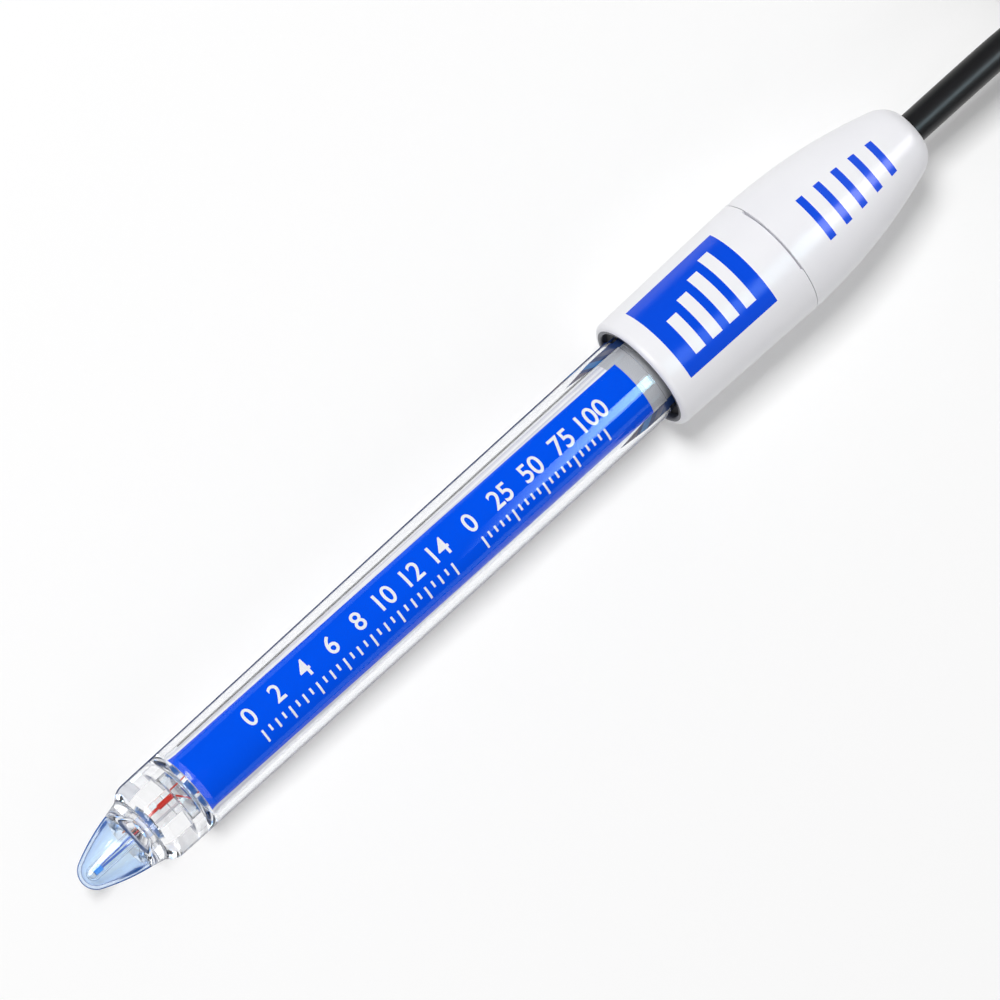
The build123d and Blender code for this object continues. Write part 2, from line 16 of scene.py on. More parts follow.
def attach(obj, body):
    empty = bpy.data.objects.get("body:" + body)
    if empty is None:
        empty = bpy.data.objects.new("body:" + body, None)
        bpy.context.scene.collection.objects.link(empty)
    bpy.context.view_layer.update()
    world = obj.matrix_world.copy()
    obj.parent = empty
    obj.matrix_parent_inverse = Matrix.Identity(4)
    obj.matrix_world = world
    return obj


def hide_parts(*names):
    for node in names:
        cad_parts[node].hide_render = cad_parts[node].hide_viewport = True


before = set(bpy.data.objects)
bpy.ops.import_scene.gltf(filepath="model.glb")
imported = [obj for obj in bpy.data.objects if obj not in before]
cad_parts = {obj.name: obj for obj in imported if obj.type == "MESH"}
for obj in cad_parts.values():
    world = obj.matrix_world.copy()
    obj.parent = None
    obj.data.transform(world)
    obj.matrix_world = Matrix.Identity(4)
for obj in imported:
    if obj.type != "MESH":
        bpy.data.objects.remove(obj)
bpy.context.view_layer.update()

# %% [markdown]
# ## The electrode's own axis
# The electrode rests on the round of its shaft and on the rim of its head, so its axis rises a little from
# the bench. One matrix takes a point in millimetres along that axis into the model's frame in metres.

# %% From the electrode's axis to the bench
TIP = Vector((-0.0715249, 0, 0.0053449))
RISE = radians(1.6763056)
LAY = Matrix.Translation(TIP) @ Matrix.Rotation(-RISE, 4, "Y") @ Matrix.Scale(0.001, 4)


def on_axis(x, y=0, z=0):
    """A point in the model's frame, from millimetres along and beside the electrode's axis."""
    return LAY @ Vector((x, y, z))


print("seam of the head at", on_axis(118.2))

# %% [markdown]
# ## The camera
# The photograph is taken from above with a long lens, leaning towards the tip by some fourteen degrees, and
# turned so that the electrode crosses the picture from lower left to upper right. A long focal length far
# away keeps the outlines nearly parallel, as they are in the photograph.

# %% Camera
LEAN = radians(14.5)
SLANT = radians(42.3)
DISTANCE = 1.3
WIDTH = 0.1238
along = (on_axis(100) - on_axis(0)).normalized()
across = Vector((0, 1, 0))
upright = along.cross(across)
back = upright * cos(LEAN) - along * sin(LEAN)
image_along = along * cos(LEAN) + upright * sin(LEAN)
right = image_along * cos(SLANT) - across * sin(SLANT)
up = image_along * sin(SLANT) + across * cos(SLANT)
target = on_axis(71.5, 0.3)

camera = bpy.data.objects.new("camera", bpy.data.cameras.new("camera"))
bpy.context.scene.collection.objects.link(camera)
camera.data.sensor_width = 36
camera.data.lens = 36 * DISTANCE / WIDTH
camera.data.clip_start = 0.05
camera.data.clip_end = 50
place = Matrix((right, up, back)).transposed().to_4x4()
place.translation = target + back * DISTANCE
camera.matrix_world = place
bpy.context.scene.camera = camera
print("lens", round(camera.data.lens), "mm, from", tuple(round(c, 3) for c in place.translation))

# %% [markdown]
# ## The cable, folded into a hank
# The photograph shows the cable leave the head and the picture. It is one metre long on such an electrode,
# so the rest is folded beside the electrode and held by two bands. The whole cable is one NURBS spline of
# order 3: it touches the middle of each leg of its control polygon, so the corners of a fold lie a little
# outside the fold's radius.

# %% Lanes of the hank
CABLE = 0.0042
NEAR, FAR, MIDDLE = 0.1135, 0.1895, 0.0105
OUTER, INNER = 0.0169, 0.0127
LOW, HIGH = 0.00252, 0.00672
STEP = radians(30)


def fold(centre, radius, start, height):
    """Control points of a half turn from one lane to the other, with a point of the lane at each end."""
    corner = radius / cos(STEP / 2)
    ends = radius * tan(STEP / 2)
    x, y = centre
    side = 1 if start < 0 else -1
    points = [Vector((x - side * ends, y + radius * sin(start), height(0)))]
    for k in range(6):
        turn = STEP * (k + 0.5)
        angle = start + turn
        points.append(Vector((x + corner * cos(angle), y + corner * sin(angle), height(turn))))
    points.append(Vector((x - side * ends, y - radius * sin(start), height(pi))))
    return points


def drop(turn):
    """Height of the first lane that comes down beside the lane that it has lain on."""
    return LOW + sqrt(max(CABLE**2 - (CABLE / 2 * (1 - cos(turn)))**2, 0))


def climb(turn):
    """Height of the last lane, which climbs on the one that closes in beside it."""
    return LOW + sqrt(max(CABLE**2 - (CABLE / 2 * (1 + cos(turn)))**2, 0))


def level(height):
    return lambda turn: height


middle_radius = (OUTER + INNER) / 2
route = [on_axis(130.05), on_axis(150.55)]
route += [Vector((0.0945, -0.0002, 0.0097)), Vector((0.1060, -0.0050, 0.0084))]
route += [Vector((0.1150, -0.0064, 0.00675))]
route += fold((FAR, MIDDLE), OUTER, -pi / 2, level(HIGH))
route += fold((NEAR, MIDDLE), OUTER, pi / 2, drop)
route += fold((FAR, MIDDLE), OUTER, -pi / 2, level(LOW))
route += fold((NEAR, MIDDLE + OUTER - middle_radius), middle_radius, pi / 2, level(LOW))
route += fold((FAR, MIDDLE), INNER, -pi / 2, level(LOW))
route += fold((NEAR, MIDDLE), INNER, pi / 2, climb)
route += fold((FAR, MIDDLE), INNER, -pi / 2, level(HIGH))
route += [Vector((0.1745, 0.0226, 0.00682)), Vector((0.1615, 0.0105, 0.00735))]
route += [Vector((0.1360, 0.0105, 0.00735))]
print("control points of the cable", len(route))

# %% The cable itself
curve = bpy.data.curves.new("black_cable", "CURVE")
curve.dimensions = "3D"
spline = curve.splines.new("NURBS")
spline.points.add(len(route) - 1)
for point, place in zip(spline.points, route):
    point.co = (*place, 1)
    point.radius = CABLE / 2
spline.order_u = 3
spline.use_endpoint_u = True
curve.resolution_u = 12
curve.bevel_depth = 1
curve.bevel_resolution = 8
curve.use_fill_caps = True
cable = bpy.data.objects.new("black_cable", curve)
bpy.context.scene.collection.objects.link(cable)
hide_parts("cable", "cable_hank", "cable_tail")
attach(cable, "electrode")

# %% [markdown]
# ## Shader maths as Python
# A node tree is easier to read as arithmetic. The small class below wraps one output socket, so that an
# expression such as `1 - mask * 0.3` adds the Math nodes for it. Every other node comes from `add`.

# %% Sockets that can be added and multiplied
class Value:
    """One output socket of a node tree."""

    def __init__(self, tree, socket):
        self.tree, self.socket = tree, socket

    def maths(self, operation, *others):
        """A Math node with this value as its first input."""
        return self.tree.add("ShaderNodeMath", {"operation": operation}, dict(enumerate((self, *others))))

    def __add__(self, other):
        return self.maths("ADD", other)

    def __sub__(self, other):
        return self.maths("SUBTRACT", other)

    def __mul__(self, other):
        return self.maths("MULTIPLY", other)

    def __truediv__(self, other):
        return self.maths("DIVIDE", other)

    def __pow__(self, other):
        return self.maths("POWER", other)

    def __gt__(self, other):
        return self.maths("GREATER_THAN", other)

    def __lt__(self, other):
        return self.maths("LESS_THAN", other)

    def __neg__(self):
        return self * -1

    def __rsub__(self, other):
        return -self + other

    def __abs__(self):
        return self.maths("ABSOLUTE")

    __radd__ = __add__
    __rmul__ = __mul__

    def most(self, other):
        return self.maths("MAXIMUM", other)

    def least(self, other):
        return self.maths("MINIMUM", other)

    def between(self, low, high):
        """1 between two values, 0 outside them."""
        return (self > low) * (self < high)


class Tree:
    """A node tree that is being built."""

    def __init__(self, tree):
        self.tree = tree
        tree.nodes.clear()

    def add(self, kind, settings=None, inputs=None, output=0):
        """Adds one node: its settings first, then values or links for its sockets."""
        node = self.tree.nodes.new(kind)
        for name, setting in (settings or {}).items():
            if name == "stops":
                ramp = node.color_ramp
                while len(ramp.elements) < len(setting):
                    ramp.elements.new(0.5)
                for element, (position, colour) in zip(ramp.elements, setting):
                    element.position, element.color = position, (*colour, 1)
            else:
                setattr(node, name, setting)
        for name, value in (inputs or {}).items():
            if isinstance(value, Value):
                self.tree.links.new(value.socket, node.inputs[name])
            else:
                node.inputs[name].default_value = value
        # The output node of a world or a material has no output socket of its own.
        return Value(self, node.outputs[output]) if len(node.outputs) else None

    def mix(self, factor, first, second):
        """A mix of two colours."""
        return self.add(
            "ShaderNodeMix", {"data_type": "RGBA"}, {0: factor, 6: first, 7: second}, output=2
        )

    def noise(self, where, scale, detail=2.0, roughness=0.5):
        return self.add(
            "ShaderNodeTexNoise", {},
            {"Vector": where, "Scale": scale, "Detail": detail, "Roughness": roughness},
        )

    def remap(self, value, low, high, at_low=0.0, at_high=1.0, soft=False):
        """A change from at_low to at_high while value goes from low to high; soft eases it in and out."""
        return self.add(
            "ShaderNodeMapRange", {"interpolation_type": "SMOOTHSTEP" if soft else "LINEAR"},
            {"Value": value, "From Min": low, "From Max": high, "To Min": at_low, "To Max": at_high},
        )

    def bump(self, height, strength, distance):
        return self.add(
            "ShaderNodeBump", {}, {"Height": height, "Strength": strength, "Distance": distance}
        )

    def surface(self, shader, kind="Material"):
        self.add(f"ShaderNodeOutput{kind}", {}, {"Surface": shader})


def rgb(red, green, blue):
    """A colour as a screen shows it, 0 to 255, in the linear values that shaders use."""
    linear = [c / 255 / 12.92 if c <= 10 else ((c / 255 + 0.055) / 1.055) ** 2.4 for c in (red, green, blue)]
    return (*linear, 1.0)


def material(name):
    """A new material and its empty tree."""
    made = bpy.data.materials.new(name)
    made.use_nodes = True
    return made, Tree(made.node_tree)


def own_place(tree):
    """Millimetres along and beside the electrode's axis, from the piece's Object coordinates."""
    where = tree.add("ShaderNodeTexCoord", output=3)
    mapped = tree.add(
        "ShaderNodeMapping", {"vector_type": "TEXTURE"},
        {"Vector": where, "Location": TIP, "Rotation": (0, -RISE, 0), "Scale": (0.001, 0.001, 0.001)},
    )
    split = tree.add("ShaderNodeSeparateXYZ", {}, {"Vector": mapped})
    node = split.socket.node
    return mapped, Value(tree, node.outputs[0]), Value(tree, node.outputs[1]), Value(tree, node.outputs[2])


def away(y, z):
    """The distance from the electrode's axis, in millimetres."""
    return (y * y + z * z) ** 0.5


def around(y, z):
    """The turn about the electrode's axis, in degrees from the top towards -Y."""
    return (-y).maths("ARCTAN2", z) * (180 / pi)


def any_of(masks):
    """1 wherever one of the masks is 1."""
    return reduce(Value.most, masks)


print("the screen's middle grey in shader values", tuple(round(c, 3) for c in rgb(128, 128, 128)))

# %% [markdown]
# ## Plain finishes
# Most small pieces need one colour, one roughness and a trace of unevenness. Rubber and moulded plastic are
# never perfectly smooth: a fine noise moves their roughness and tilts their surface a little.

# %% Plain finishes
def plain(name, colour, roughness, grain=0.0, grain_size=0.4, metallic=0.0, coat=0.0, vary=0.04, shine=0.5):
    """A material of one colour with a fine grain; grain is its height and grain_size its size, in mm."""
    made, tree = material(name)
    where, *_ = own_place(tree)
    fine = tree.noise(where, 1 / grain_size, 3)
    broad = tree.noise(where, 0.35, 2)
    inputs = {
        "Base Color": tree.mix(broad, tuple(c * (1 - vary) for c in colour[:3]) + (1,), colour),
        "Roughness": (fine - 0.5) * 0.12 + roughness,
        "Metallic": metallic,
        "Coat Weight": coat,
        "Coat Roughness": 0.15,
        "Specular IOR Level": shine,
    }
    if grain:
        inputs["Normal"] = tree.bump(fine, 1.0, grain * 0.001)
    tree.surface(tree.add("ShaderNodeBsdfPrincipled", {}, inputs))
    return made


def finish(node, made):
    """Gives a CAD node its material."""
    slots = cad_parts[node].data.materials
    slots.clear()
    slots.append(made)


# %% Finishes of the small pieces
finish("sensor_bead", plain("grey_bead", rgb(196, 202, 214), 0.35, 0.004))
finish("sensor_chip", plain("blue_chip", rgb(0, 150, 255), 0.25))
finish("sensor_wires", plain("blue_enamel", rgb(0, 92, 200), 0.3))
red_lead = plain("red_lead", rgb(205, 50, 35), 0.35)
finish("signal_lead", red_lead)
finish("lead_sleeve", red_lead)
finish("return_lead", plain("pale_lead", rgb(205, 205, 212), 0.35))
finish("head_seal", plain("seal_rubber", rgb(8, 10, 18), 0.5, 0.004, shine=0.2))
rubber = plain("black_rubber", rgb(26, 26, 28), 0.55, 0.004)
for name in ("top_plug", "inner_plug"):
    finish(name, rubber)
finish("retaining_collar", plain("inner_collar", rgb(190, 190, 194), 0.45, 0.002))
finish("junction_pin", plain("white_ceramic", rgb(232, 234, 240), 0.8, 0.01, 0.15))
finish("reference_wire", plain("dark_wire", rgb(8, 8, 12), 0.5, shine=0.1))
finish("shield_lead", plain("tinned_lead", rgb(190, 190, 188), 0.35, metallic=1.0))
finish("cable_clamp", plain("clamp_steel", rgb(185, 185, 182), 0.4, metallic=1.0))
finish("hank_ties", plain("tie_band", rgb(34, 34, 36), 0.6, 0.01, 0.3))
cable.data.materials.append(plain("black_jacket", rgb(15, 15, 17), 0.4, 0.003, 0.25, coat=0.08, shine=0.3))
finish("plug_boot", plain("boot_rubber", rgb(24, 24, 26), 0.62, 0.006, 0.2))
nickel = plain("nickel_plate", rgb(205, 203, 196), 0.22, 0.0006, 0.3, metallic=1.0)
for name in ("plug_ferrule", "plug_body", "contact_sleeve", "spring_washer", "coupling_nut"):
    finish(name, nickel)
finish("plug_pin", plain("gold_plate", rgb(235, 190, 105), 0.2, metallic=1.0))
finish("plug_insulator", plain("white_insulator", rgb(240, 240, 236), 0.45))
finish("plug_gasket", plain("red_gasket", rgb(150, 60, 45), 0.6))
print("materials so far", len(bpy.data.materials))

# %% [markdown]
# ## Pieces of more than one colour
# Some pieces change colour along or across themselves, and each gets its colours by its own place. The
# inner lead is bare copper at first and red enamel further back. The cement is pale with one amber spot, the
# seal is pale near the axis and blue further out, and the bush carries a white block and a painted shade
# that darkens it towards the head, where it goes into the head's mouth. The sleeve under the label, further
# down, uses the same function for its painted bands.

# %% Pieces of more than one colour
def parted(name, colours, roughness, shine=0.5):
    """A material whose colour is chosen by place; colours is called with the tree and the three places."""
    made, tree = material(name)
    where, x, y, z = own_place(tree)
    fine = tree.noise(where, 2.5, 3)
    tree.surface(tree.add(
        "ShaderNodeBsdfPrincipled", {},
        {
            "Base Color": colours(tree, x, y, z),
            "Roughness": (fine - 0.5) * 0.12 + roughness,
            "Specular IOR Level": shine,
        },
    ))
    return made


def lead_colours(tree, x, y, z):
    """Copper, brighter from the collar's bore on, and red enamel inside the inner tube."""
    fore = tree.mix(x > 9.6, rgb(190, 105, 60), rgb(238, 170, 140))
    return tree.mix(x > 15.2, fore, rgb(212, 58, 34))


def cement_colours(tree, x, y, z):
    """Pale, with an amber spot round the inner lead."""
    beside = ((y - 1.25) ** 2 + z * z) ** 0.5
    return tree.mix(beside < 0.55, rgb(228, 232, 244), rgb(232, 176, 80))


def seal_colours(tree, x, y, z):
    """Pale near the axis, blue further out."""
    return tree.mix(away(y, z) > 2.5, rgb(226, 230, 242), rgb(0, 80, 150))


def bush_colours_and_shade(tree, x, y, z):
    """Grey with a painted shade that darkens it towards the head, and a white block at the front edge."""
    # Painted shade: darker grey towards the head, where the bush goes into the head's mouth.
    grey = tree.mix(tree.remap(x, 94.8, 99.5), rgb(196, 198, 204), rgb(128, 130, 138))
    block = x.between(93.55, 94.72) * (away(y, z) > 4.52)
    return tree.mix(block, grey, rgb(222, 224, 230))


finish("stem_cement", parted("amber_cement", cement_colours, 0.35))
finish("electrode_wire", parted("lead_enamel", lead_colours, 0.35))
finish("seal_ring", parted("blue_seal", seal_colours, 0.35))
finish("top_bush", parted("grey_bush", bush_colours_and_shade, 0.4))
print("materials so far", len(bpy.data.materials))

# %% [markdown]
# ## Profiles and turned pieces
# Glass shows every facet, so the clear pieces are turned again here with far more steps than the CAD export
# has. A profile is a list of (distance along the axis, radius). Its corners can be rounded by an arc, and
# `bmesh.ops.spin` turns it about the axis into a closed shell.

# %% Profiles
def rounded(corners, steps=6):
    """The profile through those corners; a third number rounds a corner with an arc of that radius."""
    points = []
    for k, corner in enumerate(corners):
        here = Vector((corner[0], corner[1], 0))
        if len(corner) < 3:
            points.append(here)
            continue
        size = corner[2]
        before, after = (Vector((*corners[(k + j) % len(corners)][:2], 0)) for j in (-1, 1))
        a, b = (before - here).normalized(), (after - here).normalized()
        half = a.angle(b) / 2
        centre = here + (a + b).normalized() * size / sin(half)
        start = (here + a * size / tan(half) - centre).normalized()
        end = (here + b * size / tan(half) - centre).normalized()
        points += [centre + start.slerp(end, i / steps) * size for i in range(steps + 1)]
    return [(p.x, p.y) for p in points]


def tangent_arc(start, heading, end, steps=24):
    """Points of the arc that leaves start in that direction and ends at end."""
    a, b = Vector(start), Vector(end)
    along_it = Vector(heading).normalized()
    side = Vector((-along_it.y, along_it.x))
    chord = b - a
    radius = chord.length_squared / (2 * chord.dot(side))
    swept = 2 * atan2(chord.dot(side), chord.dot(along_it))
    angles = [swept * i / steps for i in range(steps + 1)]
    return [tuple(a + radius * (sin(t) * along_it + (1 - cos(t)) * side)) for t in angles]


def round_arc(centre, radius, start, end, steps=20):
    """Points of an arc about a centre, between two angles in degrees."""
    angles = [radians(start + (end - start) * i / steps) for i in range(steps + 1)]
    return [(centre + radius * cos(t), radius * sin(t)) for t in angles]


# %% Turning a profile
def keep(name, bm, body, *materials, smooth=35):
    """Makes an object of a finished bmesh, in the model's frame, with sharp edges where it bends."""
    bm.transform(LAY)
    for face in bm.faces:
        face.smooth = True
    for edge in bm.edges:
        if len(edge.link_faces) == 2 and edge.calc_face_angle() > radians(smooth):
            edge.smooth = False
    mesh = bpy.data.meshes.new(name)
    bm.to_mesh(mesh)
    bm.free()
    for made in materials:
        mesh.materials.append(made)
    piece = bpy.data.objects.new(name, mesh)
    bpy.context.scene.collection.objects.link(piece)
    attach(piece, body)
    print(name, len(mesh.polygons), "faces")
    return piece


def spun(profile, steps=160, closed=True, angle=2 * pi, start=0.0):
    """A bmesh of the profile turned about X; start counts from the top towards -Y."""
    bm = bmesh.new()
    verts = [bm.verts.new((x, -r * sin(start), r * cos(start))) for x, r in profile]
    edges = [bm.edges.new(pair) for pair in zip(verts, verts[1:] + (verts[:1] if closed else []))]
    full = angle > 6.28
    bmesh.ops.spin(
        bm, geom=verts + edges, cent=(0, 0, 0), axis=(1, 0, 0), dvec=(0, 0, 0), angle=angle,
        steps=steps, use_merge=full, use_normal_flip=False, use_duplicate=False,
    )
    if not full:
        bmesh.ops.holes_fill(bm, edges=[e for e in bm.edges if e.is_boundary], sides=0)
    bmesh.ops.remove_doubles(bm, verts=bm.verts, dist=1e-4)
    bmesh.ops.recalc_face_normals(bm, faces=bm.faces)
    return bm


# %% [markdown]
# ## Glass
# A clear solid bends light twice on its way through, and the bright bench behind it shows as white with thin
# dark lines where the light comes in from the side. Those lines are partly painted: where a surface turns
# away, a matt dark colour is mixed into the glass as a painted reflection of dark surroundings. Lamps can't
# find their way through such a surface in a few samples, so for shadow and diffuse rays it turns into a
# plain transparent sheet.
#
# Thick glass also mirrors dark and blue streaks that a few samples don't find. They are painted on by place:
# two bands in the wall next to the head, wedges along the sides of the cone and arcs on the inner tube.

# %% Clear materials
COLOURLESS = (0.99, 0.995, 1.0, 1)
# NAVY colours the painted dark edge lines of the glass.
NAVY = (0.012, 0.035, 0.13, 1)
PLASTIC_INDEX, GLASS_INDEX = 1.49, 1.52
BORE_SIDE = 5.3  # the shaft's bore lies nearer to the axis than this, its outer surface further away
BAND_START, BAND_TURN = 86.0, 57
BAND_BARS = [
    (87.4, 89.4, (0.10, 0.09, 0.13, 1)),
    (90.2, 91.6, (0.01, 0.12, 0.36, 1)),
    (92.6, 93.8, (0.06, 0.07, 0.14, 1)),
]


def head_bands(tree, line):
    """Two bands that widen towards the head: where they are, the colours there, and the rim's strength."""
    _, x, y, z = own_place(tree)
    outside = away(y, z) > BORE_SIDE
    turn = abs(around(y, z))
    half_width = tree.remap(x, BAND_START, 91.0, at_high=9.0)
    band = tree.remap(half_width - abs(turn - BAND_TURN), 0.0, 1.5, soft=True)
    band = band * outside * (x > BAND_START) * (z > 0)
    slanted = x + (turn - BAND_TURN) * 0.09
    for start, end, colour in BAND_BARS:
        line = tree.mix(slanted.between(start, end), line, colour)
    # The painted edge line is made fainter towards -Y and over the bore.
    lit_side = tree.remap(y, -5.0, 3.0, at_low=0.35)
    strength = lit_side * (outside * 0.75 + 0.25)
    return band, line, strength * (1 - band)


def clear(name, tint, edge, index, rim=(0.72, 0.86, 0.8), power=2, at_head=False, line=NAVY, streaks=None):
    """Glass or clear plastic: tint straight on, edge where it turns away.

    The colour line is a painted reflection, a matt dark colour mixed over the glass at its rim: rim tells
    where that starts, where it is full, and its amount. The same painted colour fills what streaks(tree, x,
    turn) gives, and at_head adds the painted bands next to the head.
    """
    made, tree = material(name)
    strength = 1.0
    facing = tree.add("ShaderNodeLayerWeight", {}, {"Blend": 0.5}, output=1)
    colour = tree.mix(facing ** power, tint, edge)
    if at_head:
        band, line, strength = head_bands(tree, line)
    glass = tree.add(
        "ShaderNodeBsdfPrincipled", {},
        {"Base Color": colour, "Roughness": 0.0, "IOR": index, "Transmission Weight": 1.0},
    )
    # Painted reflection: a matt dark line that stands in for the dark surroundings mirrored at the rim.
    dark = tree.add(
        "ShaderNodeBsdfPrincipled", {}, {"Base Color": line, "Roughness": 0.6, "Specular IOR Level": 0.0}
    )
    amount = tree.remap(facing, rim[0], rim[1], at_high=rim[2]) * strength
    if at_head:
        amount = amount.most(band * 0.9)
    if streaks:
        _, x, y, z = own_place(tree)
        amount = amount.most(streaks(tree, x, around(y, z)) * 0.85)
    glass = tree.add("ShaderNodeMixShader", {}, {0: amount, 1: glass, 2: dark})
    rays = tree.add("ShaderNodeLightPath").socket.node
    shadow, diffuse = (Value(tree, rays.outputs[n]) for n in ("Is Shadow Ray", "Is Diffuse Ray"))
    sheet = tree.add("ShaderNodeBsdfTransparent", {}, {"Color": (0.99, 0.99, 0.99, 1)})
    tree.surface(tree.add("ShaderNodeMixShader", {}, {0: shadow.most(diffuse), 1: glass, 2: sheet}))
    return made


def cone_streaks(tree, x, turn):
    """Two wedges along the sides of the cone, the longer one below."""
    lower = (x - 2.6).least((7.1 - x) * 2.5) * 2.2 - abs(turn - 64)
    upper = (x - 4.9).least((7.4 - x) * 3.0) * 3.2 - abs(turn + 67)
    return tree.remap(lower, 0.0, 1.6, soft=True).most(tree.remap(upper, 0.0, 1.6, soft=True))


def tube_streaks(tree, x, turn):
    """Three arcs on the inner tube, just in front of the label."""
    arcs = any_of([turn.between(-72, -40), turn.between(-12, 20), turn.between(34, 66)])
    return arcs * tree.remap((x - 16.3).least(17.45 - x), 0.0, 0.15, soft=True)


GLASS_EDGE, GLASS_RIM = (0.76, 0.84, 0.97, 1), (0.80, 0.92, 0.85)
shaft_clear = clear(
    "shaft_clear", COLOURLESS, (0.82, 0.87, 0.97, 1), PLASTIC_INDEX, (0.70, 0.78, 0.9), at_head=True
)
stem_clear = clear("stem_clear", COLOURLESS, GLASS_EDGE, GLASS_INDEX, GLASS_RIM)
fine_clear = clear(
    "fine_clear", COLOURLESS, (0.40, 0.58, 0.92, 1), GLASS_INDEX, (0.66, 0.78, 0.95),
    line=(0.01, 0.06, 0.24, 1),
)
blue_clear = clear(
    "blue_clear", (0.82, 0.92, 1.0, 1), (0.04, 0.28, 0.85, 1), GLASS_INDEX, (0.64, 0.76, 0.95), power=1.5,
    line=(0.004, 0.10, 0.42, 1), streaks=cone_streaks,
)
tube_clear = clear(
    "tube_clear", COLOURLESS, GLASS_EDGE, GLASS_INDEX, GLASS_RIM,
    line=(0.006, 0.10, 0.40, 1), streaks=tube_streaks,
)
print("materials so far", len(bpy.data.materials))

# %% [markdown]
# ## The glass tip
# The sensing cone is blown from blue-tinted glass and fused to a clear stem. Both are one shell here, so
# that no seam shows where they meet, and the faces of the cone get the blue glass.

# %% Glass tip
def cone_side(inset):
    """The cone's outline from its nose to its base, that far inside the outer surface."""
    radius = 2.35 - inset
    lift = atan2(4.15 - 2.35, 7.6 - 2.35) + radians(6)
    foot = (2.35 - radius * sin(lift), radius * cos(lift))
    nose = round_arc(2.35, radius, 180, 90 + degrees(lift), 18)
    return nose[:-1] + tangent_arc(foot, (cos(lift), sin(lift)), (7.6, 4.15 - inset), 14)


inside = cone_side(0.45)
collar = [(7.6, 4.15), (10.0, 4.7, 0.15), (10.0, 3.0), (10.6, 3.0), (10.6, 1.5), (9.6, 1.5)]
bm = spun(cone_side(0) + rounded(collar, 4)[1:] + inside[::-1], closed=False)
for face in bm.faces:
    face.material_index = 1 if face.calc_center_median().x < 7.6 else 0
glass_tip = keep("glass_tip", bm, "electrode", stem_clear, blue_clear)
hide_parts("membrane_glass", "stem_glass")

# %% Capillary
outer = round_arc(1.88, 0.93, 180, 90, 10) + [(11.45, 0.95)]
inner = [(11.45, 0.77)] + round_arc(1.88, 0.75, 90, 180, 10)
capillary = keep("capillary", spun(outer + inner, 64, closed=False), "electrode", fine_clear)
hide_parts("sensor_capillary")

# %% [markdown]
# ## The clear shaft
# The shaft is one moulding: a thick rounded end with a six-sided chamber, then a long thin wall. The profile
# is turned as a whole, and the rings of the chamber are then drawn in to a hexagon.

# %% Clear shaft
front = tangent_arc((11.8, 5.68), (-1, 0), (10.0, 4.85), 12)[::-1]
profile = front + [(61.8, 6.0), (94.9, 6.0), (94.9, 5.8), (111.8, 5.8), (111.8, 4.8)]
quarter = [k * pi / 28 for k in range(15)]
profile += [(18.6 - 2.2 * sin(t), 3.37 + 1.43 * cos(t)) for t in quarter] + [(14.9, 3.37)]
profile += [(14.9, 2.6), (14.9, 2.2), (11.4, 2.2), (11.4, 2.6), (11.4, 3.05), (10.0, 3.05)]
bm = spun(profile, 192)
for vert in bm.verts:
    x, r = vert.co.x, sqrt(vert.co.y**2 + vert.co.z**2)
    if abs(r - 2.2) < 0.01 and 11.3 < x < 15:
        turn = (atan2(vert.co.y, vert.co.z) + pi / 6) % (pi / 3) - pi / 6
        size = 2.55 * cos(pi / 6) / cos(turn) / r
        vert.co.y, vert.co.z = vert.co.y * size, vert.co.z * size
clear_shaft = keep("clear_shaft", bm, "electrode", shaft_clear, smooth=20)
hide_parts("shaft_tube")

# %% Inner tube
tube = rounded([(14.9, 2.6), (14.9, 3.35, 0.25), (114.3, 3.35), (114.3, 2.6)])
inner_tube = keep("clear_inner_tube", spun(tube, 128), "electrode", tube_clear)
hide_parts("inner_tube")

# %% [markdown]
# ## The label and what carries it
# A blue film wraps a little more than a quarter of a pale sleeve. Its print is a plain scale: white numbers
# and strokes of the kind found on any graduated tool, cut as thin raised ink that follows the round.

# %% Carrier and label
def carrier_with_painted_bands(tree, x, y, z):
    """Near white, with faint painted bands along the sleeve: painted light and shade of the kind the clear
    wall over it draws.
    """
    # Painted light and shade: pale and darker bands stretched along the sleeve.
    drawn_out = tree.add("ShaderNodeCombineXYZ", {}, {0: around(y, z) * 0.16, 1: x * 0.012})
    band = tree.remap(tree.noise(drawn_out, 1.0, 2), 0.40, 0.58)
    return tree.mix(band, rgb(216, 216, 230), rgb(252, 252, 255))


carrier_grey = parted("pale_carrier", carrier_with_painted_bands, 0.45, 0.1)
sleeve = rounded([(17.5, 3.37), (17.5, 4.5, 0.1), (91.8, 4.5), (91.8, 4.3), (18.7, 4.3), (18.7, 3.37)], 4)
carrier = keep("carrier", spun(sleeve, 128), "electrode", carrier_grey)
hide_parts("label_carrier")


def skew(x):
    """The film was wrapped a little askew: its turn about the axis at that distance from the tip."""
    return radians(7.2) * (x - 55) / 37.5


label_blue = plain("label_blue", rgb(0, 86, 248), 0.4, vary=0.02, shine=0.0)
FILM_START, FILM_LENGTH, FILM_PARTS = 17.5, 75.5, 16
film = [(17.5, 4.5), (93.0, 4.5), (93.0, 4.6), (17.5, 4.6)]
bm = spun(film, 64, angle=radians(107), start=radians(-47))
for k in range(1, FILM_PARTS):
    bmesh.ops.bisect_plane(
        bm, geom=bm.verts[:] + bm.edges[:] + bm.faces[:],
        plane_co=(FILM_START + FILM_LENGTH * k / FILM_PARTS, 0, 0), plane_no=(1, 0, 0),
    )
for vert in bm.verts:
    vert.co = Matrix.Rotation(skew(vert.co.x), 3, "X") @ vert.co
label = keep("label_film", bm, "electrode", label_blue)
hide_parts("label")

